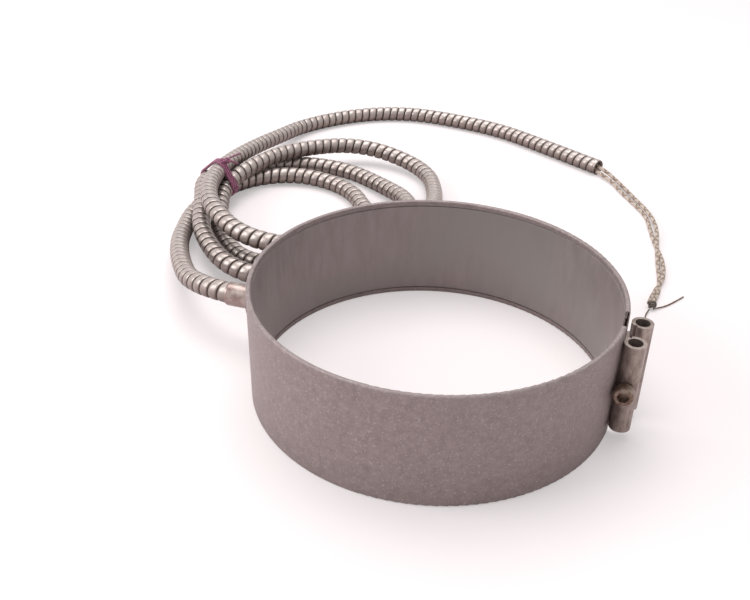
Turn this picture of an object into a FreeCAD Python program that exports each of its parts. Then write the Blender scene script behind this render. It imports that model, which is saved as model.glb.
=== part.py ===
"""Mica band heater with a tube-lug closure and an armoured lead.

The band stands on one edge, its axis along +Z, and its gap is centred on +X.
Sizes are in millimetres. The sheet "sizes" holds every driving dimension.
"""
import FreeCAD, Part
import math
import os
import re
import Sketcher
from FreeCAD import Placement, Rotation, Vector

SIZES = {
    # the band and its two folded steel sheaths
    "bore_dia": 150.0,
    "band_width": 50.0,
    "band_wall": 2.0,
    "sheath_sheet": 0.5,
    "hem_lip": 2.4,
    "hem_round": 0.7,
    "liner_step": 0.6,
    "gap_half_angle": 4.2,
    # the heating element between the sheaths
    "layer_gap": 0.06,
    "mica_sheet": 0.15,
    "card_sheet": 0.15,
    "ribbon_sheet": 0.1,
    "ribbon_width": 2.2,
    "ribbon_turns": 36.0,
    "element_edge": 4.4,
    "element_end_angle": 2.0,
    # the two rolled lugs of the closure
    "lug_dia": 8.6,
    "lug_wall": 1.4,
    "lug_length": 40.0,
    "lug_pitch": 15.3,
    "lug_seam": 0.9,
    "lug_lift": 0.1,
    "far_lug_out": 1.0,
    "screw_inset": 0.5,
    "tail_height": 30.0,
    "tail_past_angle": 2.7,
    # the clamp screw and its nut
    "screw_dia": 5.0,
    "screw_length": 30.0,
    "screw_head_dia": 7.8,
    "screw_head_height": 5.0,
    "screw_socket": 4.3,
    "screw_socket_depth": 2.6,
    "screw_hole_dia": 5.5,
    "spot_face": 0.5,
    "nut_across": 8.0,
    "nut_height": 4.0,
    "nut_clearance": 0.06,
    # the terminal cap at the back and the ferrule that holds the armour
    "cap_angle": 182.5,
    "cap_dia": 17.0,
    "cap_height": 5.5,
    "cap_sheet": 0.8,
    "cap_flange_dia": 29.0,
    "window_dia": 13.0,
    "rivet_dia": 2.4,
    "rivet_head_dia": 4.2,
    "rivet_head_height": 0.9,
    "rivet_circle": 23.5,
    "stud_dia": 2.5,
    "stud_height": 4.0,
    "stud_pitch": 6.4,
    "ferrule_dia": 10.8,
    "ferrule_length": 12.7,
    "ferrule_collar_dia": 13.2,
    "ferrule_collar": 1.2,
    # the armoured hose, its tie and the two leads
    "hose_dia": 9.8,
    "coil_height": 19.6,
    "tie_cord": 1.6,
    "tie_width": 4.5,
    "lead_dia": 2.2,
    "wire_dia": 0.8,
    "knot_dia": 5.0,
}

# The free run of the hose, from the tie to its open end: X, Y and height.
HOSE_RUN = [
    (-177, 160, 11.8), (-184, 184, 7.6), (-183, 214, 4.9), (-172, 246, 4.9),
    (-153, 274, 4.9), (-130, 292, 4.9), (-105, 300, 4.9), (-79, 299, 4.9),
    (-43, 293, 4.9), (-5, 274, 4.9), (33, 252, 4.9),
]
# The hose from the ferrule down to the floor and into the coil.
HOSE_ROOT = [
    (-85, -3.7, 25.0), (-102, -4.5, 25.0), (-119, -0.5, 23.1), (-134, 8.2, 19.6), (-146.2, 21.8, 14.5),
    (-153.5, 39.5, 9.6), (-160.5, 58, 6.3), (-166, 77, 4.9), (-170, 97, 4.9),
]
# The two braided leads, which wind loosely round each other on the floor.
LEAD_ONE = [
    (28.6, 255.4, 5.6), (36.6, 250.4, 5.0), (45.2, 242.2, 3.0), (54.4, 230.6, 1.5),
    (62.0, 216.4, 2.2), (70.2, 200.8, 3.4), (76.9, 183.4, 3.4), (79.2, 163.4, 1.9),
    (81.6, 143.4, 1.2), (84.6, 124.4, 1.2), (85.2, 110.0, 1.2), (83.6, 99.5, 1.6),
]
LEAD_TWO = [
    (28.2, 254.2, 3.2), (35.6, 248.0, 2.7), (44.6, 239.4, 1.7), (51.0, 228.0, 1.2),
    (60.0, 214.6, 1.2), (69.8, 199.0, 1.2), (73.6, 182.2, 1.2), (78.6, 162.8, 1.2),
    (84.4, 144.6, 1.9), (86.4, 125.0, 1.9), (83.0, 111.0, 1.4), (82.0, 99.5, 2.2),
]
WIRE_ONE = [(84.4, 95.0, 1.2), (88.0, 98.6, 0.6), (92.4, 104.4, 0.5), (97.4, 113.6, 0.5)]
WIRE_TWO = [(82.6, 93.4, 1.2), (81.4, 89.4, 0.6), (81.8, 84.6, 0.5), (84.4, 79.6, 0.5)]
KNOT = (83.3, 96.6, 2.5)

# The loose coil: an oval ring on the floor, kept clear of the band.
COIL_CENTRE = (-112.0, 135.0)
COIL_OUTER = (76.0, 100.0)
COIL_HOLE_CENTRE = (-122.0, 110.0)
COIL_HOLE = (38.0, 46.0)
COIL_CLEARANCE = 10.0
TIE_CENTRE = (-172.0, 134.0)
TIE_INSIDE = 34.0


doc = FreeCAD.newDocument("band_heater")
sheet = doc.addObject("Spreadsheet::Sheet", "sizes")


# ---- the sheet and its expressions ----------------------------------------

def fill_sheet():
    """Write each size and its alias into the sheet."""
    for row, (name, value) in enumerate(SIZES.items(), start=1):
        sheet.set("A%d" % row, name)
        sheet.set("B%d" % row, str(value))
        sheet.setAlias("B%d" % row, name)
    doc.recompute()


def size(name):
    return float(getattr(sheet, name))


def on_sheet(text):
    """Turn size names in an expression into references to the sheet."""
    return re.sub("[a-z_]+", lambda word: "sizes." * (word[0] in SIZES) + word[0], text)


def bind(item, **expressions):
    for prop, text in expressions.items():
        item.setExpression(prop, on_sheet(text))


# ---- bodies and sketches ---------------------------------------------------

def new_body(name):
    body = doc.addObject("PartDesign::Body", name)
    body.Label = name
    return body


def origin_item(body, role):
    for item in body.Origin.OriginFeatures:
        if item.Role == role:
            return item
    raise ValueError("no origin item " + role)


def new_sketch(body, name, plane, lift=None):
    sketch = body.newObject("Sketcher::SketchObject", name)
    sketch.AttachmentSupport = [(origin_item(body, plane), "")]
    sketch.MapMode = "FlatFace"
    if lift:
        sketch.setExpression("AttachmentOffset.Base.z", on_sheet(lift))
    return sketch


def drive(sketch, kind, places, text):
    """Add a dimension to a sketch and bind it to an expression."""
    index = sketch.addConstraint(Sketcher.Constraint(kind, *places, 1.0))
    sketch.setExpression("Constraints[%d]" % index, on_sheet(text))


def place_point(sketch, line, end, across, up):
    """Hold a line's end at (across, up) from the sketch's origin."""
    for kind, axis, text in (("DistanceX", -2, across), ("DistanceY", -1, up)):
        if text == "0":
            sketch.addConstraint(Sketcher.Constraint("PointOnObject", line, end, axis))
        else:
            drive(sketch, kind, (-1, 1, line, end), text)


def outline(sketch, points):
    """Draw a closed outline whose corners are expressions."""
    count = len(points)
    turn = 2 * math.pi / count
    corners = [Vector(30 + 10 * math.cos(i * turn), 30 + 10 * math.sin(i * turn), 0)
               for i in range(count)]
    for i in range(count):
        sketch.addGeometry(Part.LineSegment(corners[i], corners[(i + 1) % count]), False)
    for i in range(count):
        sketch.addConstraint(Sketcher.Constraint("Coincident", i, 2, (i + 1) % count, 1))
    for i, (across, up) in enumerate(points):
        place_point(sketch, i, 1, across, up)


def rectangle(sketch, left, right, low, high):
    outline(sketch, [(left, low), (right, low), (right, high), (left, high)])


def circles(sketch, across, up, *diameters):
    """Draw concentric circles about one point."""
    for index, text in enumerate(diameters):
        sketch.addGeometry(Part.Circle(Vector(10, 10, 0), Vector(0, 0, 1), 5 + index), False)
        place_point(sketch, index, 3, across, up)
        drive(sketch, "Diameter", (index,), text)


def turned(body, name, kind, points, angle="360"):
    """Revolve, or groove, an outline about the body's Z axis."""
    sketch = new_sketch(body, name + "_outline", "XZ_Plane")
    outline(sketch, points)
    feature = body.newObject("PartDesign::" + kind, name)
    feature.Profile = sketch
    feature.ReferenceAxis = (origin_item(body, "Z_Axis"), [""])
    feature.setExpression("Angle", on_sheet(angle))
    return feature


def padded(body, name, sketch, length):
    pad = body.newObject("PartDesign::Pad", name)
    pad.Profile = sketch
    bind(pad, Length=length)
    return pad


def boolean(name, kind, base, tool):
    result = doc.addObject("Part::" + kind, name)
    result.Base = base
    result.Tool = tool
    result.Label = name
    return result


def rod(name, diameter, length, direction, start):
    """A cylinder along a direction, from a start point."""
    cylinder = doc.addObject("Part::Cylinder", name)
    bind(cylinder, Radius="( %s ) / 2" % diameter, Height=length)
    cylinder.Placement = Placement(start, Rotation(Vector(0, 0, 1), direction))
    return cylinder


def free_shape(name, shape, placement=None):
    feature = doc.addObject("Part::Feature", name)
    feature.Shape = shape
    feature.Label = name
    if placement:
        feature.Placement = placement
    return feature


# ---- the band: two sheaths and the element between them --------------------

BORE = "bore_dia / 2"
OUTSIDE = "( bore_dia / 2 + band_wall )"
SHEET = "sheath_sheet"
LINER = "( bore_dia / 2 + sheath_sheet )"
EDGE = "( bore_dia / 2 + sheath_sheet + layer_gap )"
EDGE_BACK = "( bore_dia / 2 + 2 * sheath_sheet + layer_gap )"
LOW_STEP = "hem_lip + liner_step"
HIGH_STEP = "band_width - hem_lip - liner_step"
INNER_MICA = "( %s + layer_gap )" % LINER
CARD = "( %s + 3 * layer_gap + mica_sheet + ribbon_sheet )" % LINER
OUTER_MICA = "( %s + 5 * layer_gap + mica_sheet + 2 * ribbon_sheet + card_sheet )" % LINER


def gap_turn(extra=0.0):
    """The placement that turns a part ring so that its gap faces +X."""
    return Placement(Vector(), Rotation(Vector(0, 0, 1), size("gap_half_angle") + extra))


def part_ring(name, inner, outer, low, high, setback="0"):
    """A thin ring that stops short of the gap at both ends."""
    body = new_body(name)
    sweep = "360 - 2 * ( gap_half_angle + %s )" % setback
    turned(body, name + "_ring", "Revolution",
           [(inner, low), (outer, low), (outer, high), (inner, high)], sweep)
    return body


def rim_edges(shape):
    """Names of the circular edges on the two rims, inside and outside."""
    names = []
    radii = (size("bore_dia") / 2, size("bore_dia") / 2 + size("band_wall"))
    for number, edge in enumerate(shape.Edges, start=1):
        if not isinstance(edge.Curve, Part.Circle):
            continue
        on_radius = min(abs(edge.Curve.Radius - r) for r in radii) < 1e-6
        height = edge.Curve.Center.z
        on_rim = min(abs(height), abs(height - size("band_width"))) < 1e-6
        if on_radius and on_rim:
            names.append("Edge%d" % number)
    return names


def make_outer_sheath(holes):
    """The outer sheet, folded over the liner at both rims as narrow hems."""
    body = part_ring("folded_sheath", BORE, OUTSIDE, "0", "band_width")
    turned(body, "sheath_cavity", "Groove",
           [(LINER, SHEET), (OUTSIDE + " - " + SHEET, SHEET),
            (OUTSIDE + " - " + SHEET, "band_width - " + SHEET), (LINER, "band_width - " + SHEET)])
    opening = turned(body, "hem_opening", "Groove",
                     [(BORE + " - 1", "hem_lip"), (LINER + " + 0.05", "hem_lip"),
                      (LINER + " + 0.05", "band_width - hem_lip"),
                      (BORE + " - 1", "band_width - hem_lip")])
    doc.recompute()
    rounds = body.newObject("PartDesign::Fillet", "hem_rounds")
    rounds.Base = (opening, rim_edges(opening.Shape))
    bind(rounds, Radius="hem_round")
    body.Tip = rounds
    body.Placement = gap_turn()
    boolean("outer_sheath", "Cut", body, holes)


def make_liner():
    """The inner sheet, stepped back at both edges so that it is flush with the hems."""
    body = new_body("inner_sheath")
    low, high = SHEET, "band_width - " + SHEET
    turned(body, "liner_ring", "Revolution",
           [(EDGE, low), (EDGE_BACK, low), (EDGE_BACK, LOW_STEP), (LINER, LOW_STEP + " + 0.4"),
            (LINER, HIGH_STEP + " - 0.4"), (EDGE_BACK, HIGH_STEP), (EDGE_BACK, high), (EDGE, high),
            (EDGE, "band_width - hem_lip - 0.2"), (BORE, HIGH_STEP), (BORE, LOW_STEP),
            (EDGE, "hem_lip + 0.2")], "360 - 2 * gap_half_angle")
    body.Placement = gap_turn()


def make_layers(holes):
    """The insulating sheets, with a hair of room between each and the next."""
    make_liner()
    low, high = "element_edge", "band_width - element_edge"
    layers = [
        ("inner_mica", INNER_MICA, INNER_MICA + " + mica_sheet"),
        ("winding_card", CARD, CARD + " + card_sheet"),
        ("whole_outer_mica", OUTER_MICA, OUTSIDE + " - " + SHEET + " - layer_gap"),
    ]
    for name, inner, outer in layers:
        layer = part_ring(name, inner, outer, low, high, "element_end_angle")
        layer.Placement = gap_turn(size("element_end_angle"))
    boolean("outer_mica", "Cut", doc.whole_outer_mica, holes)


def ribbon_back():
    """The radius of the ribbon's outer face, on the card's outer side."""
    radius = size("bore_dia") / 2 + size("sheath_sheet") + 4 * size("layer_gap")
    return radius + size("mica_sheet") + size("card_sheet") + 2 * size("ribbon_sheet")


def ribbon_stations():
    """The ribbon's section, as four points, at each fold and halfway along each run."""
    thick = size("ribbon_sheet")
    gap = size("layer_gap")
    over = (ribbon_back() - thick, ribbon_back())
    under = (over[0] - size("card_sheet") - 2 * gap, over[0] - size("card_sheet") - 2 * gap - thick)
    middle = size("band_width") / 2
    edge_low, edge_high = size("element_edge") - gap, size("band_width") - size("element_edge") + gap
    folds = [(over, edge_low, -thick, 0.0), (over, middle, 0.0, 0.25), (over, edge_high, thick, 0.5),
             (under, edge_high, thick, 0.5), (under, middle, 0.0, 0.75), (under, edge_low, -thick, 1.0)]
    turns = int(round(size("ribbon_turns")))
    first = math.radians(size("gap_half_angle") + 2 * size("element_end_angle"))
    pitch = (2 * math.pi - 2 * first) / turns
    half = size("ribbon_width") / 2 / over[1]
    stations = []
    for turn in range(turns):
        for (near, far), height, proud, share in folds:
            angle = first + (turn + share) * pitch
            stations.append([ring_point(angle - half, near, height),
                             ring_point(angle + half, near, height),
                             ring_point(angle + half, far, height + proud),
                             ring_point(angle - half, far, height + proud)])
    return stations


def ring_point(angle, radius, height):
    return Vector(radius * math.cos(angle), radius * math.sin(angle), height)


def triangles(a, b, c, d):
    return [Part.Face(Part.makePolygon([a, b, c, a])), Part.Face(Part.makePolygon([a, c, d, a]))]


def make_ribbon():
    """Flat resistance ribbon wound round the card as one continuous strip."""
    stations = ribbon_stations()
    faces = triangles(*stations[0]) + triangles(*stations[-1])
    for here, after in zip(stations, stations[1:]):
        for i in range(4):
            j = (i + 1) % 4
            faces += triangles(here[i], here[j], after[j], after[i])
    shell = Part.makeShell(faces)
    shell.sewShape()
    solid = Part.Solid(shell)
    if solid.Volume < 0:
        solid.reverse()
    free_shape("resistance_ribbon", solid)


# ---- the closure: two rolled lugs, the screw and its nut -------------------

LUG_RADIUS = "( bore_dia / 2 + band_wall + lug_lift + lug_dia / 2 )"
LUG_X = "sqrt( %s ^ 2 - ( lug_pitch / 2 ) ^ 2 )" % LUG_RADIUS
LUG_LOW = "( band_width - lug_length ) / 2"
TAIL_LOW = "( band_width - tail_height ) / 2"
TAIL_START = "( gap_half_angle - tail_past_angle ) * 1 deg"
TAIL_END = "asin( lug_pitch / 2 / %s )" % OUTSIDE


def screw_x():
    """How far the screw is from the band's axis: a little inside the near lug's middle."""
    reach = size("bore_dia") / 2 + size("band_wall") + size("lug_lift") + size("lug_dia") / 2
    return math.sqrt(reach ** 2 - (size("lug_pitch") / 2) ** 2) - size("screw_inset")


def seat_y():
    """How far the flats under the screw head and the nut are from the gap's centre."""
    return size("lug_pitch") / 2 + size("lug_dia") / 2 - size("spot_face")


def make_roll(name, side, out):
    """The tube of a lug, rolled from sheet, with its seam on the band's side."""
    roll = new_body(name + "_roll")
    middle = "%s + %s" % (LUG_X, out)
    across = "%d * lug_pitch / 2" % side
    section = new_sketch(roll, name + "_section", "XY_Plane", LUG_LOW)
    circles(section, middle, across, "lug_dia", "lug_dia - 2 * lug_wall")
    padded(roll, name + "_tube", section, "lug_length")
    seam = new_sketch(roll, name + "_seam", "XY_Plane", LUG_LOW + " + lug_length")
    edge = "%s - %d * lug_dia / 3" % (across, side)
    rectangle(seam, middle + " - lug_dia / 2", middle + " - lug_dia / 5",
              edge, "%s - %d * lug_seam" % (edge, side))
    slit = roll.newObject("PartDesign::Pocket", name + "_slit")
    slit.Profile = seam
    bind(slit, Length="lug_length")
    return roll


def make_tail(name, side):
    """The curved strip by which a lug is welded to the band."""
    tail = new_body(name + "_tail")
    front, back = OUTSIDE, OUTSIDE + " + lug_wall"
    top = TAIL_LOW + " + tail_height"
    turned(tail, name + "_strip", "Revolution",
           [(front, TAIL_LOW), (back, TAIL_LOW), (back, top), (front, top)],
           TAIL_END + " - " + TAIL_START)
    outside = size("bore_dia") / 2 + size("band_wall")
    start = size("gap_half_angle") - size("tail_past_angle")
    end = math.degrees(math.asin(size("lug_pitch") / 2 / outside))
    turn = start if side > 0 else -end
    tail.Placement = Placement(Vector(), Rotation(Vector(0, 0, 1), turn))
    return tail


def make_lug(name, side, out):
    """A lug rolled from sheet; side is -1 at the band's near end and 1 at the other."""
    whole = boolean(name + "_whole", "Fuse", make_roll(name, side, out), make_tail(name, side))
    middle = Vector(screw_x(), side * size("lug_pitch") / 2, size("band_width") / 2)
    hole = rod(name + "_hole", "screw_hole_dia", "2 * lug_dia", Vector(0, 1, 0),
               middle - Vector(0, size("lug_dia"), 0))
    flat = rod(name + "_flat", "screw_head_dia + 1", "lug_dia", Vector(0, side, 0),
               Vector(middle.x, side * seat_y(), middle.z))
    drilled = boolean(name + "_drilled", "Cut", whole, hole)
    boolean(name, "Cut", drilled, flat)


def along_gap(y):
    """The placement of a fastener: its own +Z runs along +Y from the given Y."""
    return Placement(Vector(screw_x(), y, size("band_width") / 2), Rotation(Vector(0, 0, 1), Vector(0, 1, 0)))


def make_screw():
    """A socket-head cap screw, drawn with the underside of its head at its origin."""
    body = new_body("screw_blank")
    head, shank = "screw_head_dia / 2", "screw_dia / 2"
    turned(body, "screw_turned", "Revolution",
           [("0", "-1 * screw_head_height"), (head + " - 0.5", "-1 * screw_head_height"),
            (head, "-1 * screw_head_height + 0.5"), (head, "-0.2"), (head + " - 0.2", "0"),
            (shank, "0"), (shank, "screw_length - 0.6"), (shank + " - 0.6", "screw_length"),
            ("0", "screw_length")])
    body.Placement = along_gap(-seat_y())
    socket = doc.addObject("Part::Prism", "screw_socket_hex")
    socket.Polygon = 6
    bind(socket, Circumradius="screw_socket / sqrt( 3 )", Height="screw_socket_depth + 1")
    depth = size("screw_head_height") - size("screw_socket_depth")
    socket.Placement = along_gap(-seat_y() - depth - size("screw_socket_depth") - 1)
    boolean("clamp_screw", "Cut", body, socket)


def make_nut():
    """A hexagon nut with its corners turned off, bored to run on the screw."""
    body = new_body("nut_turned")
    corner = "nut_across / sqrt( 3 )"
    bore = "screw_dia / 2 + nut_clearance"
    turned(body, "nut_ring", "Revolution",
           [(bore, "0"), ("nut_across / 2 - 0.2", "0"), (corner, "0.4"), (corner, "nut_height - 0.4"),
            ("nut_across / 2 - 0.2", "nut_height"), (bore, "nut_height")])
    body.Placement = along_gap(seat_y())
    prism = doc.addObject("Part::Prism", "nut_hexagon")
    prism.Polygon = 6
    bind(prism, Circumradius=corner, Height="nut_height")
    prism.Placement = along_gap(seat_y()) * Placement(Vector(), Rotation(Vector(0, 0, 1), 30))
    boolean("clamp_nut", "Common", body, prism)


# ---- the terminal cap at the back ------------------------------------------

def outward():
    """The direction in which the terminal cap faces."""
    angle = math.radians(size("cap_angle"))
    return Vector(math.cos(angle), math.sin(angle), 0)


def cap_place(radius, round_the_band=0.0, up=0.0):
    """A point over the cap's centre, or beside it, at a distance from the band's axis."""
    out = outward()
    aside = Vector(-out.y, out.x, 0)
    return out * radius + aside * round_the_band + Vector(0, 0, size("band_width") / 2 + up)


def band_outside():
    return size("bore_dia") / 2 + size("band_wall")


def rivet_places():
    """The four rivets' angles round the band and heights."""
    reach = size("rivet_circle") / 2 / math.sqrt(2)
    turn = math.degrees(math.asin(reach / band_outside()))
    middle = size("band_width") / 2
    return [(size("cap_angle") + a * turn, middle + b * reach) for a in (-1, 1) for b in (-1, 1)]


def spoke(angle, radius, height):
    """A point at an angle and radius from the band's axis, and the way out from there."""
    point = ring_point(math.radians(angle), radius, height)
    return point, Vector(point.x, point.y, 0).normalize()


def make_holes():
    """The cutters for the wiring window and the rivet holes."""
    start = size("bore_dia") / 2 + size("sheath_sheet")
    cutters = [rod("window", "window_dia", "band_wall + 4", outward(), cap_place(start))]
    for number, (angle, height) in enumerate(rivet_places(), start=1):
        foot, way = spoke(angle, start, height)
        cutters.append(rod("rivet_hole_%d" % number, "rivet_dia", "band_wall + 4", way, foot))
    holes = doc.addObject("Part::MultiFuse", "cap_holes")
    holes.Shapes = cutters
    return holes


def band_drum(name, radius):
    drum = doc.addObject("Part::Cylinder", name)
    bind(drum, Radius=radius, Height="band_width")
    return drum


def make_cap(holes):
    """A pressed cup with a flange that follows the band, and a hole for the ferrule."""
    flange_blank = rod("flange_blank", "cap_flange_dia", "band_wall + cap_height", outward(),
                       cap_place(size("bore_dia") / 2))
    flange = boolean("flange_bent", "Common", flange_blank, band_drum("flange_top", OUTSIDE + " + cap_sheet"))
    cup = rod("cup_outside", "cap_dia", "band_wall + cap_height", outward(), cap_place(size("bore_dia") / 2))
    solid = boolean("cup_and_flange", "Fuse", flange, cup)
    hollow = rod("cup_inside", "cap_dia - 2 * cap_sheet", "band_wall + cap_height - cap_sheet",
                 outward(), cap_place(size("bore_dia") / 2))
    shell = boolean("cap_shell", "Cut", solid, hollow)
    seated = boolean("cap_seated", "Cut", shell, band_drum("cap_seat", OUTSIDE))
    mouth = rod("cap_mouth", "ferrule_dia", "cap_height + band_wall + 5", outward(),
                cap_place(size("bore_dia") / 2))
    opened = boolean("cap_opened", "Cut", seated, mouth)
    boolean("terminal_cap", "Cut", opened, holes)


def make_rivets():
    """The four rivets that hold the cap, from under the sheath to over the flange."""
    under = band_outside() - size("sheath_sheet")
    top = band_outside() + size("cap_sheet")
    rivets = []
    for angle, height in rivet_places():
        foot, way = spoke(angle, under, height)
        seat = spoke(angle, top, height)[0]
        shank = Part.makeCylinder(size("rivet_dia") / 2, top - under, foot, way)
        head = Part.makeCone(size("rivet_head_dia") / 2, size("rivet_head_dia") / 3,
                             size("rivet_head_height"), seat, way)
        rivets.append(shank.fuse(head).removeSplitter())
    free_shape("cap_rivets", Part.makeCompound(rivets))


def make_studs():
    """The two terminal studs, which stand on the ribbon inside the cap."""
    for name, up in (("terminal_stud_upper", 1), ("terminal_stud_lower", -1)):
        place = cap_place(ribbon_back(), 0, up * size("stud_pitch") / 2)
        washer = Part.makeCylinder(size("stud_dia"), 0.6, place, outward())
        stud = Part.makeCylinder(size("stud_dia") / 2, size("stud_height"), place, outward())
        free_shape(name, washer.fuse(stud).removeSplitter())


def make_ferrule():
    """The flared sleeve that is locked in the cap and crimped on the armour."""
    body = new_body("exit_ferrule")
    bore, outside = "hose_dia / 2", "ferrule_dia / 2"
    turned(body, "ferrule_turned", "Revolution",
           [(bore, "-1 * ferrule_collar"), ("ferrule_collar_dia / 2", "-1 * ferrule_collar"),
            ("ferrule_collar_dia / 2", "0"), (outside, "0"), (outside, "ferrule_length - 0.8"),
            (outside + " - 0.3", "ferrule_length"), (bore, "ferrule_length")])
    under_cap = band_outside() + size("cap_height") - size("cap_sheet")
    body.Placement = Placement(cap_place(under_cap), Rotation(Vector(0, 0, 1), outward()))


# ---- the armoured hose, its tie and the leads ------------------------------

def route_wire(points, name):
    """Straight runs joined by tangent arcs; prints the tightest radius."""
    points = [Vector(*p) for p in points]
    edges = []
    radii = []
    start = points[0]
    for before, corner, after in zip(points, points[1:], points[2:]):
        back = (before - corner).normalize()
        on = (after - corner).normalize()
        half_turn = (math.pi - back.getAngle(on)) / 2
        cut = 0.45 * min(before.distanceToPoint(corner), corner.distanceToPoint(after))
        radius = cut / math.tan(half_turn)
        radii.append(radius)
        arc_start, arc_end = corner + back * cut, corner + on * cut
        middle_way = (back + on).normalize()
        centre = corner + middle_way * (radius / math.cos(half_turn))
        arc_middle = centre - middle_way * radius
        edges.append(Part.LineSegment(start, arc_start).toShape())
        edges.append(Part.Arc(arc_start, arc_middle, arc_end).toShape())
        start = arc_end
    edges.append(Part.LineSegment(start, points[-1]).toShape())
    print("%s: tightest radius %.1f mm" % (name, min(radii)))
    return Part.Wire(edges)


def make_tube(name, points, diameter):
    """A plain tube of a cord's diameter along its route."""
    path = route_wire(points, name)
    start, after = Vector(*points[0]), Vector(*points[1])
    ring = Part.Wire([Part.Circle(start, after - start, diameter / 2).toShape()])
    tube = path.makePipeShell([ring], True, True)
    share = tube.Volume / (math.pi * diameter ** 2 / 4 * path.Length)
    print("%s: length %.0f mm, volume over section times length %.4f" % (name, path.Length, share))
    free_shape(name, tube)


def oval(centre, reach, height):
    """A solid with an oval outline, longer along Y."""
    middle = Vector(centre[0], centre[1], 0)
    curve = Part.Ellipse(middle + Vector(0, reach[1], 0), middle + Vector(reach[0], 0, 0), middle)
    return Part.Face(Part.Wire([curve.toShape()])).extrude(Vector(0, 0, height))


def make_coil():
    """The outer shape of the loose coil: an oval ring on the floor beside the band."""
    height = size("coil_height")
    ring = oval(COIL_CENTRE, COIL_OUTER, height).cut(oval(COIL_HOLE_CENTRE, COIL_HOLE, height))
    room = Part.makeCylinder(band_outside() + COIL_CLEARANCE, height)
    free_shape("hose_coil", ring.cut(room))


def make_tie():
    """A cord tied round the strands of the coil: a flat loop seen from the strands' end."""
    cord = size("tie_cord")
    wide = TIE_INSIDE
    high = size("coil_height")
    corner = Vector(TIE_CENTRE[0] - wide / 2, TIE_CENTRE[1] - size("tie_width") / 2, 0)
    outside = Part.makeBox(wide + 2 * cord, size("tie_width"), high + cord, corner - Vector(cord, 0, 0))
    inside = Part.makeBox(wide, size("tie_width"), high - cord, corner + Vector(0, 0, cord))
    free_shape("hose_tie", outside.cut(inside))


def make_knot():
    knot = Part.makeSphere(size("knot_dia") / 2, Vector(*KNOT))
    free_shape("lead_knot", knot)


NODES = [
    "outer_sheath", "inner_sheath", "inner_mica", "winding_card", "resistance_ribbon", "outer_mica",
    "near_lug", "far_lug", "clamp_screw", "clamp_nut", "terminal_cap", "cap_rivets",
    "terminal_stud_upper", "terminal_stud_lower", "exit_ferrule", "hose_root", "hose_coil",
    "hose_run", "hose_tie", "lead_one", "lead_two", "lead_knot", "wire_end_one", "wire_end_two",
]


def check_document():
    """Stop if any feature failed or any piece is empty or invalid."""
    for item in doc.Objects:
        if "Invalid" in item.State or "Error" in item.State:
            raise RuntimeError("feature failed: " + item.Name)
    for name in NODES:
        shape = doc.getObject(name).Shape
        if shape.isNull() or not shape.isValid() or not shape.Solids:
            raise RuntimeError("bad shape: " + name)


def main():
    fill_sheet()
    holes = make_holes()
    make_outer_sheath(holes)
    make_layers(holes)
    make_ribbon()
    make_lug("near_lug", -1, "0")
    make_lug("far_lug", 1, "far_lug_out")
    make_screw()
    make_nut()
    make_cap(holes)
    make_rivets()
    make_studs()
    make_ferrule()
    make_tube("hose_root", HOSE_ROOT, size("hose_dia"))
    make_tube("hose_run", HOSE_RUN, size("hose_dia"))
    make_coil()
    make_tie()
    make_tube("lead_one", LEAD_ONE, size("lead_dia"))
    make_tube("lead_two", LEAD_TWO, size("lead_dia"))
    make_tube("wire_end_one", WIRE_ONE, size("wire_dia"))
    make_tube("wire_end_two", WIRE_TWO, size("wire_dia"))
    make_knot()
    doc.recompute()
    check_document()
    os.makedirs("parts", exist_ok=True)
    for name in NODES:
        shape = doc.getObject(name).Shape
        shape.exportStep("parts/%s.step" % name)
        print("%-22s %9.1f mm3, %d solids" % (name, shape.Volume, len(shape.Solids)))


main()
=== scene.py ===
"""Mica band heater with an armoured lead: the studio scene, laid out as an add-on."""
import math

import bpy
import numpy as np
from bpy.props import FloatProperty, FloatVectorProperty, IntProperty, PointerProperty
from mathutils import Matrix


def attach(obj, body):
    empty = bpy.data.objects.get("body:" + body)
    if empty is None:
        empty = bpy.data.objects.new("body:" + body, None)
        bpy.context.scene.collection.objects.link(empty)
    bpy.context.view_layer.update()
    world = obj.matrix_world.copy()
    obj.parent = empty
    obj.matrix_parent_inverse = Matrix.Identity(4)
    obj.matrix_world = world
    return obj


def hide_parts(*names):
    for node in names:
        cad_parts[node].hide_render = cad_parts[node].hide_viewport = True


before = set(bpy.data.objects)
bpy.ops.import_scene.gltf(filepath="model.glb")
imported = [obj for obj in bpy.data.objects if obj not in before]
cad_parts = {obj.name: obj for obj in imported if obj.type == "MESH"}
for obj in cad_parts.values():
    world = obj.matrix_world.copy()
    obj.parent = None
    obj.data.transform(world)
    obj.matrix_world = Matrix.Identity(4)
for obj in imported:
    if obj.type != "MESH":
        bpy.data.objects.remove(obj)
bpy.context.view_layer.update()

bl_info = {
    "name": "Band Heater",
    "version": (1, 0, 0),
    "blender": (4, 5, 0),
    "location": "3D View > Sidebar > Band Heater",
    "description": "Builds a mica band heater with its armoured lead, one piece at a time",
    "category": "Object",
}

MM = 0.001


# ---- colour ------------------------------------------------------------------

def linear(code):
    """An sRGB hex value as linear red, green and blue."""
    parts = [int(code[i:i + 2], 16) / 255 for i in (1, 3, 5)]
    return tuple(p / 12.92 if p <= 0.04045 else ((p + 0.055) / 1.055) ** 2.4 for p in parts)


def colour(name, code):
    """A colour setting with its default."""
    return FloatVectorProperty(name=name, description=name + " colour", subtype="COLOR", size=3,
                               min=0.0, max=1.0, default=linear(code))


def length(name, metres):
    """A length setting with its default, in metres."""
    return FloatProperty(name=name, description=name, subtype="DISTANCE", unit="LENGTH",
                         min=0.0, precision=5, default=metres)


# ---- routes of the cords, in metres --------------------------------------------

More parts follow.
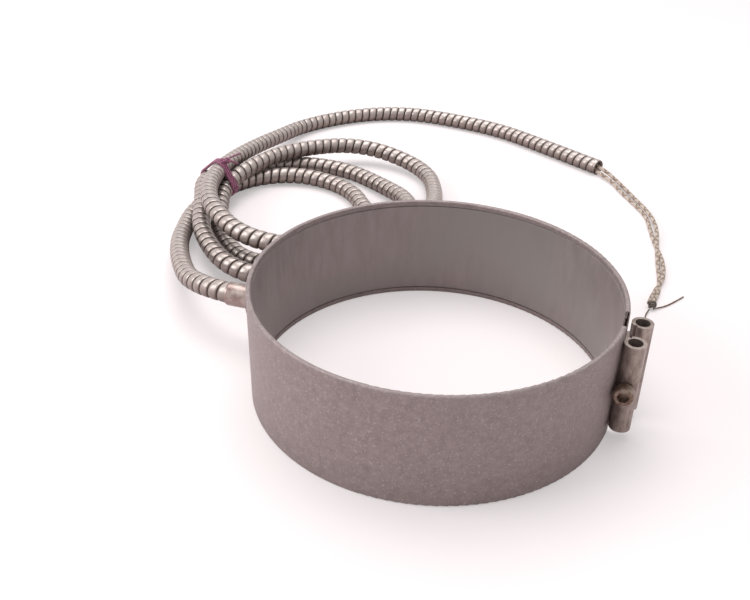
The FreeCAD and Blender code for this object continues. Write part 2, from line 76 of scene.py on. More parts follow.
# The hose from the ferrule to the coil.
HOSE_ROOT = [
    (-0.085, -0.0037, 0.025), (-0.0924, -0.0039, 0.025), (-0.1061, -0.0005, 0.0233), (-0.118, 0.0061, 0.0203),
    (-0.1266, 0.0133, 0.0176), (-0.1337, 0.0217, 0.0157),
    (-0.1416, 0.0318, 0.0136), (-0.1499, 0.0438, 0.0112),
    (-0.1571, 0.0561, 0.0093), (-0.1623, 0.0674, 0.0077),
    (-0.1663, 0.0774, 0.0062), (-0.1702, 0.0871, 0.0054),
    (-0.1728, 0.0994, 0.0051),
]
# The three turns of the loose coil, each clockwise from -X in twelve steps: how far the
# hose is from the coil's centre, and its height, both in millimetres.
COIL_CENTRE = (-0.116, 0.122)
COIL_REACH = [
    (58.4, 56.9, 50.9, 43.4, 37.9, 35.1, 47.9, 73.7, 88.3, 85.8, 67.1, 55.9),
    (64.4, 71.7, 71.0, 65.2, 58.8, 62.4, 65.0, 70.2, 74.6, 68.2, 55.1, 47.3),
    (50.9, 52.9, 69.0, 93.7, 96.9, 79.0, 74.2, 78.7, 78.5, 72.2, 59.3, 52.5),
]
COIL_HEIGHT = [
    (4.9, 4.9, 5.7, 4.9, 4.9, 4.9, 4.9, 4.9, 6.6, 9.4, 11.9, 14.5),
    (14.4, 4.9, 4.9, 4.9, 4.9, 7.6, 12.2, 15.8, 10.4, 4.9, 5.2, 7.8),
    (10.8, 15.1, 14.7, 11.7, 5.4, 7.8, 16.6, 21.4, 21.0, 22.2, 25.3, 23.2),
]
# The free run of the hose, from the coil to its open end.
HOSE_RUN = [
    (-0.1703, 0.1223, 0.0202), (-0.1745, 0.1457, 0.0172),
    (-0.1764, 0.1694, 0.0139), (-0.1761, 0.1932, 0.0109),
    (-0.1738, 0.2169, 0.0082), (-0.1727, 0.2426, 0.0049),
    (-0.1559, 0.2691, 0.0049), (-0.1328, 0.2893, 0.0049),
    (-0.1059, 0.2992, 0.0049), (-0.0744, 0.2976, 0.0049),
    (-0.0404, 0.2913, 0.0049), (-0.0062, 0.2736, 0.0049),
    (0.033, 0.252, 0.0049),
]
LEAD_ONE = [
    (0.0286, 0.2554, 0.0056), (0.0366, 0.2504, 0.0050), (0.0452, 0.2422, 0.0030), (0.0544, 0.2306, 0.0015),
    (0.0620, 0.2164, 0.0022), (0.0702, 0.2008, 0.0034), (0.0769, 0.1834, 0.0034), (0.0792, 0.1634, 0.0019),
    (0.0816, 0.1434, 0.0012), (0.0846, 0.1244, 0.0012), (0.0852, 0.1100, 0.0012), (0.0836, 0.0995, 0.0016),
]
LEAD_TWO = [
    (0.0282, 0.2542, 0.0032), (0.0356, 0.2480, 0.0027), (0.0446, 0.2394, 0.0017), (0.0510, 0.2280, 0.0012),
    (0.0600, 0.2146, 0.0012), (0.0698, 0.1990, 0.0012), (0.0736, 0.1822, 0.0012), (0.0786, 0.1628, 0.0012),
    (0.0844, 0.1446, 0.0019), (0.0864, 0.1250, 0.0019), (0.0830, 0.1110, 0.0014), (0.0820, 0.0995, 0.0022),
]
WIRE_ONE = [
    (0.0844, 0.0950, 0.0012), (0.0880, 0.0986, 0.0006),
    (0.0924, 0.1044, 0.0005), (0.0974, 0.1136, 0.0005),
]
WIRE_TWO = [
    (0.0826, 0.0934, 0.0012), (0.0814, 0.0894, 0.0006),
    (0.0818, 0.0846, 0.0005), (0.0844, 0.0796, 0.0005),
]
KNOT_CENTRE = (0.0833, 0.0966, 0.0025)
# The tie takes the strands that cross it at an X below the limit, and leans about its middle.
TIE_LIMIT = -0.145
TIE_MIDDLE = -0.172
# How far the tie leans along Y for each metre along X.
TIE_LEAN = -0.25
# How far the tie's turns lie apart, in string diameters.
TIE_SPREAD = 1.15


def coil_points():
    """The control points of the coil's turns, from its table of distances and heights."""
    points = []
    for reaches, heights in zip(COIL_REACH, COIL_HEIGHT):
        for step, (reach, height) in enumerate(zip(reaches, heights)):
            angle = math.pi - step * math.pi / 6
            points.append((COIL_CENTRE[0] + reach * MM * math.cos(angle),
                           COIL_CENTRE[1] + reach * MM * math.sin(angle), height * MM))
    return points


# ---- settings ------------------------------------------------------------------

class HeaterSizes(bpy.types.PropertyGroup):
    hose_diameter: length("Hose diameter", 9.8 * MM)
    hose_pitch: length("Hose strip pitch", 5.4 * MM)
    hose_groove: length("Hose groove depth", 0.85 * MM)
    lead_diameter: length("Braided lead diameter", 2.2 * MM)
    wire_diameter: length("Bare wire diameter", 0.8 * MM)
    string_diameter: length("Tie string diameter", 1.6 * MM)
    string_turns: IntProperty(name="Tie turns", description="Turns of the string", default=3, min=1, max=6)
    tie_station: length("Tie station along Y", 126.0 * MM)


class HeaterColours(bpy.types.PropertyGroup):
    sheath_light: colour("Sheath, light", "#968987")
    sheath_dark: colour("Sheath, dark", "#7d706f")
    sheath_speck: colour("Sheath, specks", "#b9aeac")
    liner_light: colour("Liner, light", "#978c8b")
    liner_dark: colour("Liner, dark", "#897e7c")
    liner_green: colour("Liner, green cast", "#8b8682")
    lug_light: colour("Lug, light", "#a89a94")
    lug_dark: colour("Lug, dark", "#746660")
    screw_light: colour("Screw, bare", "#8f8177")
    screw_rust: colour("Screw, rust film", "#6a4a38")
    armour_light: colour("Armour, crown", "#b5a9a4")
    armour_film: colour("Armour, dull film", "#8b7d79")
    # Painted shade on the hose's underside.
    armour_underside_shade: colour("Armour, painted shade underneath", "#55463f")
    # Painted shade in the hose's grooves; the knot yarn also takes this colour for its dark strands.
    armour_dark: colour("Armour, painted groove shade", "#41342e")
    ferrule_tone: colour("Ferrule", "#8a7571")
    rivet_tone: colour("Rivets and studs", "#9a948f")
    mica_light: colour("Mica, light", "#c2b08f")
    mica_dark: colour("Mica, dark", "#957f5d")
    ribbon_tone: colour("Resistance ribbon", "#8a8178")
    braid_light: colour("Glass braid", "#cdbdb0")
    braid_tracer: colour("Braid tracer", "#6d4f38")
    tie_light: colour("Tie string, light", "#a3567b")
    tie_dark: colour("Tie string, dark", "#6a3049")
    knot_tone: colour("Knot", "#5b4a40")
    wire_tone: colour("Bare wire", "#7e7670")
    floor_tone: colour("Floor", "#f4e9ea")


def sizes():
    return bpy.context.scene.heater_sizes


def tone(name):
    """A colour setting with full alpha, as a shader socket takes it."""
    return tuple(getattr(bpy.context.scene.heater_colours, name)) + (1.0,)


# ---- lines and surfaces ----------------------------------------------------------

def nurbs_line(name, points, resolution=24):
    """Points along a smooth spline that has the route's points as its control points."""
    data = bpy.data.curves.new(name, "CURVE")
    data.dimensions = "3D"
    spline = data.splines.new("NURBS")
    spline.points.add(len(points) - 1)
    for spot, point in zip(spline.points, points):
        spot.co = (*point, 1.0)
    spline.order_u = 3
    spline.use_endpoint_u = True
    spline.resolution_u = resolution
    holder = bpy.data.objects.new(name, data)
    bpy.context.collection.objects.link(holder)
    bpy.context.view_layer.update()
    mesh = bpy.data.meshes.new_from_object(holder)
    line = np.empty(len(mesh.vertices) * 3)
    mesh.vertices.foreach_get("co", line)
    bpy.data.objects.remove(holder)
    bpy.data.curves.remove(data)
    bpy.data.meshes.remove(mesh)
    return line.reshape(-1, 3)


def distance_along(line):
    """The distance from the start of a line to each of its points."""
    return np.concatenate([[0.0], np.cumsum(np.linalg.norm(np.diff(line, axis=0), axis=1))])


def unit(vectors):
    return vectors / np.linalg.norm(vectors, axis=-1, keepdims=True)


def around_line(line, along, angle, radius):
    """A point at a distance along a line, turned round it by an angle, at a radius.

    The line's sideways direction is its tangent crossed with up, and the angle is measured
    from there towards the upper side. All arguments are arrays of one shape.
    """
    station = distance_along(line)
    tangent = unit(np.gradient(line, station, axis=0))
    side = unit(np.cross(tangent, (0.0, 0.0, 1.0)))
    above = np.cross(side, tangent)

    def at(values):
        flat = [np.interp(along.ravel(), station, values[:, k]).reshape(along.shape) for k in range(3)]
        return np.stack(flat, axis=-1)

    out = at(side) * np.cos(angle)[..., None] + at(above) * np.sin(angle)[..., None]
    return at(line) + out * radius[..., None]


def mesh_piece(name, vertices, faces, material, smooth=True):
    """A new object at the origin from arrays of vertices and faces."""
    mesh = bpy.data.meshes.new(name)
    mesh.from_pydata(vertices.reshape(-1, 3).tolist(), [], faces)
    mesh.polygons.foreach_set("use_smooth", [smooth] * len(mesh.polygons))
    mesh.update()
    mesh.materials.append(material)
    piece = bpy.data.objects.new(name, mesh)
    bpy.context.collection.objects.link(piece)
    return piece


def grid_faces(rows, columns, start=0):
    """Four-sided faces over rows of points, each row a closed ring."""
    row, column = np.meshgrid(np.arange(rows - 1), np.arange(columns), indexing="ij")
    after = (column + 1) % columns
    quads = np.stack([row * columns + column, row * columns + after,
                      (row + 1) * columns + after, (row + 1) * columns + column], axis=-1)
    return (quads.reshape(-1, 4) + start).tolist()


def tube_piece(name, line, radius, around, material, step, shape=None):
    """A closed tube along a line, with its length and angle in metres and turns as UV.

    The radius at a distance s and an angle a is radius * shape(s, a). Both ends are
    closed with a fan that is drawn in to a point.
    """
    total = distance_along(line)[-1]
    rows = max(4, int(total / step) + 1)
    along = np.linspace(0.0, total, rows)
    angle = np.linspace(0.0, 2 * math.pi, around, endpoint=False)
    s, a = np.meshgrid(along, angle, indexing="ij")
    swell = np.ones_like(s) if shape is None else shape(s, a)
    rings = around_line(line, s, a, radius * swell)
    points = np.concatenate([rings.reshape(-1, 3), line[:1], line[-1:]])
    first, last = rows * around, rows * around + 1
    faces = grid_faces(rows, around)
    faces += [(first, (k + 1) % around, k) for k in range(around)]
    base = (rows - 1) * around
    faces += [(last, base + k, base + (k + 1) % around) for k in range(around)]
    piece = mesh_piece(name, points, faces, material)
    write_uv(piece, np.concatenate([s.ravel(), [0.0, total]]),
             np.concatenate([a.ravel() / (2 * math.pi), [0.0, 0.0]]), 1.0)
    return piece


def trefoil(depth):
    """A closed three-lobed knot round the origin, about three units in radius.

    With t round the circle: (sin t + 2 sin 2t, cos t - 2 cos 2t, -depth sin 3t).
    """
    t = np.linspace(0.0, 2 * math.pi, 120)
    return np.stack([np.sin(t) + 2 * np.sin(2 * t), np.cos(t) - 2 * np.cos(2 * t),
                     -depth * np.sin(3 * t)], axis=-1)


def write_uv(piece, u, v, wrap):
    """Store a coordinate pair for each corner, closing the seam where v wraps round."""
    mesh = piece.data
    count = len(mesh.loops)
    corner = np.empty(count, dtype=np.int64)
    mesh.loops.foreach_get("vertex_index", corner)
    owner = np.repeat(np.arange(len(mesh.polygons)), [p.loop_total for p in mesh.polygons])
    values = v[corner]
    top = np.full(len(mesh.polygons), -1e9)
    np.maximum.at(top, owner, values)
    values = np.where(top[owner] - values > wrap / 2, values + wrap, values)
    layer = mesh.uv_layers.new(name="along")
    layer.data.foreach_set("uv", np.stack([u[corner], values], axis=-1).ravel())


# ---- materials ---------------------------------------------------------------------

def add(tree, kind, feeds=None, **settings):
    """Add a node: settings are its own properties, feeds its inputs, a value or a socket each."""
    node = tree.nodes.new(kind)
    for key, value in settings.items():
        setattr(node, key, value)
    for key, value in (feeds or {}).items():
        socket = node.inputs[key]
        if isinstance(value, bpy.types.NodeSocket):
            tree.links.new(value, socket)
        else:
            socket.default_value = value
    return node


def new_material(name, **numbers):
    """A material with a Principled surface whose fixed numbers are given by socket name."""
    material = bpy.data.materials.new(name)
    material.use_nodes = True
    tree = material.node_tree
    tree.nodes.clear()
    surface = add(tree, "ShaderNodeBsdfPrincipled")
    add(tree, "ShaderNodeOutputMaterial", {"Surface": surface.outputs["BSDF"]})
    for key, value in numbers.items():
        surface.inputs[key.replace("_", " ")].default_value = value
    return material, tree, surface


def object_place(tree, stretch=(1.0, 1.0, 1.0)):
    """Object coordinates, stretched."""
    place = add(tree, "ShaderNodeTexCoord")
    mapping = add(tree, "ShaderNodeMapping", {"Vector": place.outputs["Object"], "Scale": stretch})
    return mapping.outputs["Vector"]


def feature(tree, vector, size, detail=4.0, rough=0.6):
    """A noise value whose blotches are about size metres wide."""
    return add(tree, "ShaderNodeTexNoise", {"Vector": vector, "Scale": 1.0 / size, "Detail": detail,
                                            "Roughness": rough}).outputs["Fac"]


def span(tree, value, low, high, to_low=0.0, to_high=1.0):
    return add(tree, "ShaderNodeMapRange", {"Value": value, "From Min": low, "From Max": high,
                                            "To Min": to_low, "To Max": to_high}).outputs["Result"]


def mixed(tree, factor, first, second):
    return add(tree, "ShaderNodeMix", {0: factor, 6: first, 7: second}, data_type="RGBA").outputs[2]


def bumped(tree, surface, height, metres, strength=1.0):
    bump = add(tree, "ShaderNodeBump", {"Height": height, "Distance": metres, "Strength": strength})
    tree.links.new(bump.outputs["Normal"], surface.inputs["Normal"])


def aluminised_sheet():
    """Hot-dip aluminised mild steel, matt from handling: fine pale spangle over mottled grey."""
    material, tree, surface = new_material("aluminised_steel_sheet", Metallic=0.45)
    place = object_place(tree)
    blotch = span(tree, feature(tree, place, 0.003, 6.0, 0.75), 0.3, 0.7)
    base = mixed(tree, blotch, tone("sheath_dark"), tone("sheath_light"))
    grain = feature(tree, place, 0.0009, 3.0, 0.7)
    base = mixed(tree, span(tree, grain, 0.57, 0.68, 0.0, 0.55), base, tone("sheath_speck"))
    tree.links.new(base, surface.inputs["Base Color"])
    tree.links.new(span(tree, blotch, 0.0, 1.0, 0.5, 0.62), surface.inputs["Roughness"])
    bumped(tree, surface, grain, 0.00006, 0.5)
    return material


def liner_sheet():
    """Cold-rolled steel liner, oxidised smooth and dull, with a faint green cast in places."""
    material, tree, surface = new_material("cold_rolled_steel_liner", Metallic=0.45)
    place = object_place(tree)
    streak = feature(tree, object_place(tree, (1.0, 1.0, 0.25)), 0.004, 5.0, 0.65)
    base = mixed(tree, span(tree, streak, 0.35, 0.65), tone("liner_dark"), tone("liner_light"))
    cast = span(tree, feature(tree, place, 0.06, 2.0, 0.5), 0.45, 0.65, 0.0, 0.8)
    base = mixed(tree, cast, base, tone("liner_green"))
    tree.links.new(base, surface.inputs["Base Color"])
    tree.links.new(span(tree, streak, 0.3, 0.7, 0.42, 0.55), surface.inputs["Roughness"])
    bumped(tree, surface, streak, 0.00003, 0.4)
    return material


def steel(name, light, dark, blotch_size, rough, metallic=0.75, stretch=(1.0, 1.0, 1.0)):
    """Plain steel with a film of oxide: light and dark blotches of one size."""
    material, tree, surface = new_material(name, Metallic=metallic)
    place = object_place(tree, stretch)
    film = feature(tree, place, blotch_size, 5.0, 0.65)
    base = mixed(tree, span(tree, film, 0.38, 0.62), tone(dark), tone(light))
    tree.links.new(base, surface.inputs["Base Color"])
    tree.links.new(span(tree, film, 0.3, 0.7, rough + 0.1, rough - 0.05), surface.inputs["Roughness"])
    bumped(tree, surface, film, 0.00004, 0.4)
    return material


def armour_strip():
    """Galvanised steel strip, wound and interlocked: dull crowns, with painted shade underneath and in the
    grooves.
    """
    material, tree, surface = new_material("galvanised_steel_strip", Metallic=0.6)
    groove = add(tree, "ShaderNodeAttribute", attribute_name="groove").outputs["Fac"]
    film = feature(tree, object_place(tree), 0.0025, 4.0, 0.7)
    facing = add(tree, "ShaderNodeSeparateXYZ", {"Vector": add(tree, "ShaderNodeTexCoord").outputs["Normal"]})
    strip_colour = mixed(tree, span(tree, film, 0.35, 0.7, 0.0, 0.5), tone("armour_light"), tone("armour_film"))
    # Faces that turn downwards are darkened: painted shade underneath the hose.
    strip_colour = mixed(tree, span(tree, facing.outputs["Z"], -0.3, 0.75, 0.75, 0.0), strip_colour, tone("armour_underside_shade"))
    # The grooves are darkened by the strip's profile: painted shade in the grooves.
    base = mixed(tree, groove, strip_colour, tone("armour_dark"))
    tree.links.new(base, surface.inputs["Base Color"])
    tree.links.new(span(tree, film, 0.3, 0.7, 0.28, 0.42), surface.inputs["Roughness"])
    return material


def mica_sheet():
    """Pressed muscovite mica: tan, with small glossy flakes."""
    material, tree, surface = new_material("pressed_mica_sheet", Roughness=0.45)
    flake = add(tree, "ShaderNodeTexVoronoi", {"Vector": object_place(tree), "Scale": 500.0})
    base = mixed(tree, flake.outputs["Distance"], tone("mica_light"), tone("mica_dark"))
    tree.links.new(base, surface.inputs["Base Color"])
    return material


def glass_braid():
    """Varnished glass-fibre braid: crossing yarns a millimetre apart, with a brown tracer."""
    material, tree, surface = new_material("glass_fibre_braid", Roughness=0.7)
    surface.inputs["Sheen Weight"].default_value = 0.3
    uv = add(tree, "ShaderNodeUVMap", uv_map="along")
    split = add(tree, "ShaderNodeSeparateXYZ", {"Vector": uv.outputs["UV"]})
    waves = []
    for way in (1.0, -1.0):
        turn = add(tree, "ShaderNodeMath", {0: split.outputs["Y"], 1: way}, operation="MULTIPLY")
        run = add(tree, "ShaderNodeMath", {0: split.outputs["X"], 1: 1.0 / 0.009, 2: turn.outputs[0]},
                  operation="MULTIPLY_ADD")
        waves.append(run.outputs[0])
    yarns = []
    for run in waves:
        fine = add(tree, "ShaderNodeMath", {0: run, 1: 2 * math.pi * 8}, operation="MULTIPLY")
        yarns.append(add(tree, "ShaderNodeMath", {0: fine.outputs[0]}, operation="SINE").outputs[0])
    weave = add(tree, "ShaderNodeMath", {0: yarns[0], 1: yarns[1]}, operation="MULTIPLY").outputs[0]
    tracer = None
    for run in waves:
        part = add(tree, "ShaderNodeMath", {0: run}, operation="FRACT").outputs[0]
        line = add(tree, "ShaderNodeMath", {0: part, 1: 0.5, 2: 0.13}, operation="COMPARE").outputs[0]
        tracer = line if tracer is None else add(tree, "ShaderNodeMath", {0: tracer, 1: line},
                                                  operation="MAXIMUM").outputs[0]
    shade = span(tree, weave, -1.0, 1.0, 0.35, 0.0)
    base = mixed(tree, shade, tone("braid_light"), tone("braid_tracer"))
    strong = span(tree, tracer, 0.0, 1.0, 0.0, 0.75)
    base = mixed(tree, strong, base, tone("braid_tracer"))
    tree.links.new(base, surface.inputs["Base Color"])
    bumped(tree, surface, weave, 0.00012, 0.8)
    return material


def twisted_string(name, light, dark):
    """Soft cotton string: strands twisted round each other, about a millimetre apart."""
    material, tree, surface = new_material(name, Roughness=0.9)
    surface.inputs["Sheen Weight"].default_value = 0.4
    uv = add(tree, "ShaderNodeUVMap", uv_map="along")
    split = add(tree, "ShaderNodeSeparateXYZ", {"Vector": uv.outputs["UV"]})
    turn = add(tree, "ShaderNodeMath", {0: split.outputs["X"], 1: 1.0 / 0.0035, 2: split.outputs["Y"]},
               operation="MULTIPLY_ADD")
    fine = add(tree, "ShaderNodeMath", {0: turn.outputs[0], 1: 2 * math.pi * 3}, operation="MULTIPLY")
    strand = add(tree, "ShaderNodeMath", {0: fine.outputs[0]}, operation="SINE").outputs[0]
    fuzz = feature(tree, object_place(tree), 0.0006, 3.0, 0.7)
    base = mixed(tree, span(tree, strand, -1.0, 0.6), tone(dark), tone(light))
    base = mixed(tree, span(tree, fuzz, 0.4, 0.7, 0.0, 0.4), base, tone(dark))
    tree.links.new(base, surface.inputs["Base Color"])
    bumped(tree, surface, strand, 0.0002, 0.8)
    return material


def floor_paint():
    """A matt pale table top. What the camera sees of it is lifted towards white."""
    material, tree, surface = new_material("matt_white_board", Roughness=0.9)
    surface.inputs["Base Color"].default_value = tone("floor_tone")
    surface.inputs["Specular IOR Level"].default_value = 0.1
    output = next(n for n in tree.nodes if n.type == "OUTPUT_MATERIAL")
    glow = add(tree, "ShaderNodeEmission", {"Color": (1.0, 0.985, 0.985, 1.0), "Strength": 1.0})
    rays = add(tree, "ShaderNodeLightPath")
    share = add(tree, "ShaderNodeMath", {0: rays.outputs["Is Camera Ray"], 1: 0.35}, operation="MULTIPLY")
    both = add(tree, "ShaderNodeMixShader", {0: share.outputs[0], 1: surface.outputs["BSDF"],
                                             2: glow.outputs["Emission"]})
    tree.links.new(both.outputs[0], output.inputs["Surface"])
    return material


def dress(material, *nodes):
    """Give a material to every slot of some CAD nodes."""
    for name in nodes:
        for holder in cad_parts[name].material_slots:
            holder.material = material


# ---- operators -----------------------------------------------------------------------

class HEATER_OT_stage(bpy.types.Operator):
    """Set the floor, the soft lights and the camera"""
    bl_idname = "heater.stage"
    bl_label = "Stage"

    def execute(self, context):
        half = 4.0
        corners = np.array([(-half, -half, 0.0), (half, -half, 0.0), (half, half, 0.0), (-half, half, 0.0)])
        floor = mesh_piece("floor", corners, [(0, 1, 2, 3)], floor_paint(), smooth=False)
        world = bpy.data.worlds.new("studio")
        context.scene.world = world
        world.use_nodes = True
        tree = world.node_tree
        tree.nodes.clear()
        rays = add(tree, "ShaderNodeLightPath")
        seen = add(tree, "ShaderNodeMath", {0: rays.outputs["Is Camera Ray"],
                                            1: rays.outputs["Is Glossy Ray"]}, operation="MAXIMUM")
        seen = add(tree, "ShaderNodeMath", {0: seen.outputs[0], 1: rays.outputs["Is Transmission Ray"]},
                   operation="MAXIMUM")
        level = span(tree, seen.outputs[0], 0.0, 1.0, 0.62, 1.0)
        sky = add(tree, "ShaderNodeBackground", {"Color": (1.0, 1.0, 1.0, 1.0), "Strength": level})
        add(tree, "ShaderNodeOutputWorld", {"Surface": sky.outputs[0]})
        self.lamp("overhead", (-0.25, 0.35, 1.3), (-0.03, 0.08, 0.0), 1.1, 13.0)
        self.lamp("left_fill", (-1.1, -0.5, 0.7), (0.0, 0.0, 0.02), 0.8, 8.5)
        data = bpy.data.cameras.new("camera")
        data.lens = 43.68
        data.sensor_width = 36.0
        data.clip_start = 0.01
        camera = bpy.data.objects.new("camera", data)
        camera.location = (0.0855, -0.3083, 0.2363)
        camera.rotation_euler = [math.radians(a) for a in (58.424, -0.955, 20.532)]
        context.collection.objects.link(camera)
        context.scene.camera = camera
        context.scene.view_settings.view_transform = "Standard"
        return {"FINISHED"}

    def lamp(self, name, place, target, size, power):
        """A square soft light that faces a target."""
        data = bpy.data.lights.new(name, "AREA")
        data.size = size
        data.energy = power
        lamp = bpy.data.objects.new(name, data)
        lamp.location = place
        away = np.array(target) - np.array(place)
        flat = math.hypot(away[0], away[1])
        lamp.rotation_euler = (math.atan2(flat, -away[2]), 0.0, math.atan2(-away[0], away[1]))
        bpy.context.collection.objects.link(lamp)


class HEATER_OT_hose(bpy.types.Operator):
    """Build the strip-wound armour hose along its route"""
    bl_idname = "heater.hose"
    bl_label = "Armoured hose"

    # Share of the pitch, share of the groove's depth, and how much painted shade the groove gets there.
    PROFILE = np.array([
        (0.00, 1.00, 1.00), (0.04, 1.00, 1.00), (0.07, 0.52, 0.80), (0.12, 0.24, 0.15), (0.25, 0.07, 0.00),
        (0.46, 0.00, 0.00), (0.67, 0.06, 0.00), (0.86, 0.24, 0.10), (0.93, 0.52, 0.75), (0.96, 1.00, 1.00)])
    AROUND = 24
    LIP_AROUND = 48
    # The lip, from the hose inwards: how far beyond the end, and past the lip's radius, in millimetres.
    LIP = [(-0.9, 0.0), (0.0, 0.0), (0.25, -0.25), (0.25, -0.7), (0.0, -1.0), (-9.0, -1.1), (-9.2, -4.0)]
    LIP_INSET = 0.25 * MM

    def execute(self, context):
        size = sizes()
        line = nurbs_line("hose_route", HOSE_ROOT + coil_points() + HOSE_RUN)
        total = distance_along(line)[-1]
        share, depth, dark = self.PROFILE.T
        turns = int(total / size.hose_pitch) + 1
        helix, column = np.meshgrid(np.arange(turns * self.AROUND + 1), np.arange(len(share)), indexing="ij")
        along = (helix / self.AROUND + share[column]) * size.hose_pitch
        radius = size.hose_diameter / 2 - size.hose_groove * depth[column]
        angle = 2 * math.pi * helix / self.AROUND
        points = around_line(line, np.clip(along, 0.0, total), angle, radius)
        # How much painted groove shade each point of the strip gets.
        shades = dark[column].ravel()
        faces = self.faces(turns, len(share))
        used = np.unique(np.array(faces).ravel())
        fresh = np.full(points.size // 3, -1)
        fresh[used] = np.arange(len(used))
        faces = fresh[np.array(faces)].tolist()
        points, shades = points.reshape(-1, 3)[used], shades[used]
        hose = mesh_piece("armour_hose", points, faces, armour_strip())
        groove = hose.data.attributes.new("groove", "FLOAT", "POINT")
        groove.data.foreach_set("value", shades)
        lip = self.open_end(line, total, size)
        for piece in [hose, lip]:
            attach(piece, "band")
        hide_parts("hose_root", "hose_coil", "hose_run")
        return {"FINISHED"}

    def faces(self, turns, columns):
        """Faces of one long helical strip whose far edge meets its own next turn's near edge."""
        helix, column = np.meshgrid(np.arange((turns - 1) * self.AROUND), np.arange(columns), indexing="ij")
        near = helix * columns + column
        wrap = column == columns - 1
        beside = np.where(wrap, (helix + self.AROUND) * columns, near + 1)
        quads = np.stack([near, near + columns, beside + columns, beside], axis=-1)
        return quads.reshape(-1, 4).tolist()

    def open_end(self, line, total, size):
        """The rolled lip and dark bore at the hose's open end, as rings carried on the line."""
        outer = size.hose_diameter / 2 - self.LIP_INSET
        rings = self.LIP
        along = np.array([total - self.LIP_INSET + r[0] * MM for r in rings])
        radius = np.array([outer + r[1] * MM for r in rings])
        angle = np.linspace(0.0, 2 * math.pi, self.LIP_AROUND, endpoint=False)
        s, a = np.meshgrid(along, angle, indexing="ij")
        beyond = np.clip(s - total, 0.0, None)
        way = unit(line[-1] - line[-3])
        radius = np.repeat(radius[:, None], self.LIP_AROUND, axis=1)
        points = around_line(line, np.minimum(s, total), a, radius)
        points = points + beyond[..., None] * way
        return mesh_piece("hose_end_lip", points, grid_faces(len(rings), self.LIP_AROUND),
                          bpy.data.materials["galvanised_steel_strip"])


class HEATER_OT_tie(bpy.types.Operator):
    """Tie a string round the strands of the coil"""
    bl_idname = "heater.tie"
    bl_label = "Tie string"

    def execute(self, context):
        size = sizes()
        line = nurbs_line("hose_route", HOSE_ROOT + coil_points() + HOSE_RUN)
        station = size.tie_station
        cross = np.nonzero(np.diff(np.sign(line[:, 1] - station)) != 0)[0]
        strands = line[cross]
        strands = strands[strands[:, 0] < TIE_LIMIT][:, [0, 2]]
        reach = (size.hose_diameter + size.string_diameter) / 2
        turn = np.linspace(0.0, 2 * math.pi * size.string_turns, 90 * size.string_turns)
        way = np.stack([np.cos(turn), np.sin(turn)], axis=-1)
        furthest = strands[np.argmax(way @ strands.T, axis=1)]
        loop = furthest + way * reach
        loop[:, 1] = np.maximum(loop[:, 1], size.string_diameter / 2)
        shift = (turn / turn[-1] - 0.5) * size.string_diameter * TIE_SPREAD * size.string_turns
        slant = (loop[:, 0] - TIE_MIDDLE) * TIE_LEAN
        path = np.stack([loop[:, 0], station + shift + slant, loop[:, 1]], axis=-1)
        yarn = twisted_string("cotton_string", "tie_light", "tie_dark")
        wraps = tube_piece("tie_string", path, size.string_diameter / 2, 12, yarn, 0.0006)
        top = strands[np.argmax(strands[:, 1])]
        knot_at = np.array((top[0] + 0.003, station + 0.001, top[1] + reach))
        knot = tube_piece("tie_knot", knot_at + trefoil(0.8) * 0.9 * MM, size.string_diameter * 0.45, 10,
                          yarn, 0.0005)
        ends = []
        tips = {"tie_end_long": (0.004, 0.012, 0.0005), "tie_end_short": (0.007, 0.003, -0.002)}
        for name, tip in tips.items():
            bend = np.array(tip) * (0.5, 0.4, 0.5) + (0, 0, 0.0012)
            route = [tuple(knot_at), tuple(knot_at + bend), tuple(knot_at + np.array(tip))]
            ends.append(tube_piece(name, nurbs_line(name, route), size.string_diameter * 0.35, 10,
                                   yarn, 0.0005))
        for piece in [wraps, knot] + ends:
            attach(piece, "band")
        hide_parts("hose_tie")
        return {"FINISHED"}


class HEATER_OT_leads(bpy.types.Operator):
    """Build the two braided leads, their knot and the bare wire ends"""
    bl_idname = "heater.leads"
    bl_label = "Braided leads"

    def execute(self, context):
        size = sizes()
        braid = glass_braid()
        bare = steel("nickel_wire", "wire_tone", "screw_rust", 0.002, 0.4)
        soft = twisted_string("frayed_glass_yarn", "knot_tone", "armour_dark")
        knot = tube_piece("lead_tangle", np.array(KNOT_CENTRE) + trefoil(1.2) * 0.62 * MM, 0.75 * MM, 10,
                          soft, 0.0004)
        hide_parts("lead_knot")
        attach(knot, "band")
        ends = []
        for name, route in (("wire_end_one", WIRE_ONE), ("wire_end_two", WIRE_TWO)):
            line = nurbs_line(name, route)
            wire = tube_piece(name + "_strands", line, size.wire_diameter / 2, 18, bare, 0.0004,
                              lambda s, a: 0.86 + 0.14 * np.cos(6 * a + s * 2 * math.pi / 0.004))
            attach(wire, "band")
            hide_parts(name)
            ends.append(wire)
        for name, route, pieces in (("lead_one", LEAD_ONE, [knot] + ends), ("lead_two", LEAD_TWO, [])):
            line = nurbs_line(name, route)
            lead = tube_piece(name + "_braid", line, size.lead_diameter / 2, 20, braid, 0.0005)
            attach(lead, "band")
            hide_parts(name)
        return {"FINISHED"}


class HEATER_OT_sheath(bpy.types.Operator):
    """Finish the outer sheath and the liner"""
    bl_idname = "heater.sheath"
    bl_label = "Sheath and liner"

    def execute(self, context):
        skin = aluminised_sheet()
        dress(skin, "outer_sheath", "terminal_cap")
        dress(liner_sheet(), "inner_sheath")
        return {"FINISHED"}


class HEATER_OT_element(bpy.types.Operator):
    """Finish the mica sheets and the resistance ribbon"""
    bl_idname = "heater.element"
    bl_label = "Heating element"

    def execute(self, context):
        dress(mica_sheet(), "inner_mica", "winding_card", "outer_mica")
        dress(steel("nickel_chrome_ribbon", "ribbon_tone", "lug_dark", 0.004, 0.35), "resistance_ribbon")
        return {"FINISHED"}


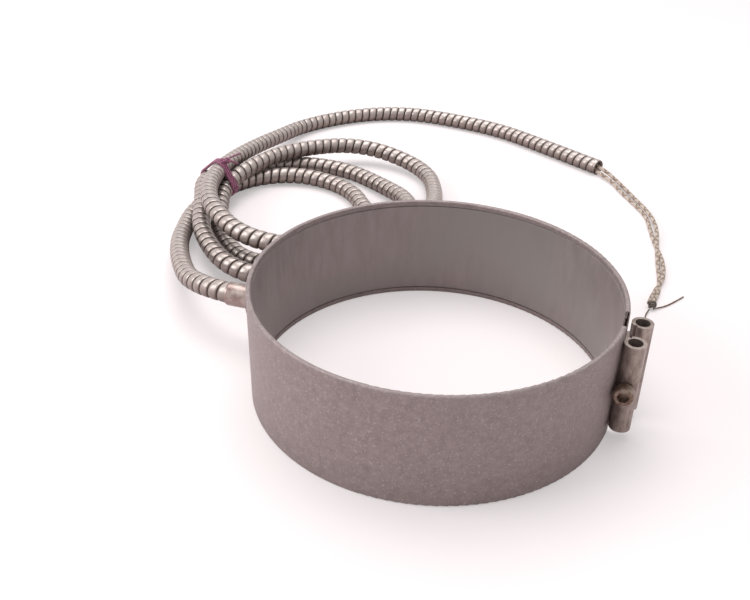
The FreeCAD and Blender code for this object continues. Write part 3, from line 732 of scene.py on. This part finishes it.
class HEATER_OT_closure(bpy.types.Operator):
    """Finish the rolled lugs, the clamp screw and its nut"""
    bl_idname = "heater.closure"
    bl_label = "Closure"

    def execute(self, context):
        rolled = steel("rolled_mild_steel", "lug_light", "lug_dark", 0.005, 0.42, 0.7, (1.0, 1.0, 0.4))
        dress(rolled, "near_lug", "far_lug")
        rusty = steel("rust_filmed_steel", "screw_light", "screw_rust", 0.0018, 0.45, 0.6)
        dress(rusty, "clamp_screw", "clamp_nut")
        return {"FINISHED"}


class HEATER_OT_exit(bpy.types.Operator):
    """Finish the ferrule, the rivets and the terminal studs"""
    bl_idname = "heater.exit"
    bl_label = "Cable exit"

    def execute(self, context):
        dress(steel("crimped_steel_sleeve", "ferrule_tone", "lug_light", 0.004, 0.3, 0.75), "exit_ferrule")
        dress(steel("plain_steel_rivet", "rivet_tone", "lug_dark", 0.002, 0.38), "cap_rivets",
              "terminal_stud_upper", "terminal_stud_lower")
        return {"FINISHED"}


OPERATORS = (HEATER_OT_stage, HEATER_OT_tie, HEATER_OT_hose, HEATER_OT_leads, HEATER_OT_sheath,
             HEATER_OT_element, HEATER_OT_closure, HEATER_OT_exit)


class HEATER_PT_panel(bpy.types.Panel):
    """The band heater's pieces"""
    bl_idname = "HEATER_PT_panel"
    bl_label = "Band Heater"
    bl_space_type = "VIEW_3D"
    bl_region_type = "UI"
    bl_category = "Band Heater"

    def draw(self, context):
        for kind in OPERATORS:
            self.layout.operator(kind.bl_idname)


def register():
    for kind in (HeaterSizes, HeaterColours, *OPERATORS, HEATER_PT_panel):
        bpy.utils.register_class(kind)
    bpy.types.Scene.heater_sizes = PointerProperty(type=HeaterSizes)
    bpy.types.Scene.heater_colours = PointerProperty(type=HeaterColours)


def unregister():
    del bpy.types.Scene.heater_colours
    del bpy.types.Scene.heater_sizes
    for kind in reversed((HeaterSizes, HeaterColours, *OPERATORS, HEATER_PT_panel)):
        bpy.utils.unregister_class(kind)


def main():
    register()
    for kind in OPERATORS:
        group, action = kind.bl_idname.split(".")
        getattr(getattr(bpy.ops, group), action)()


if __name__ == "__main__":
    main()
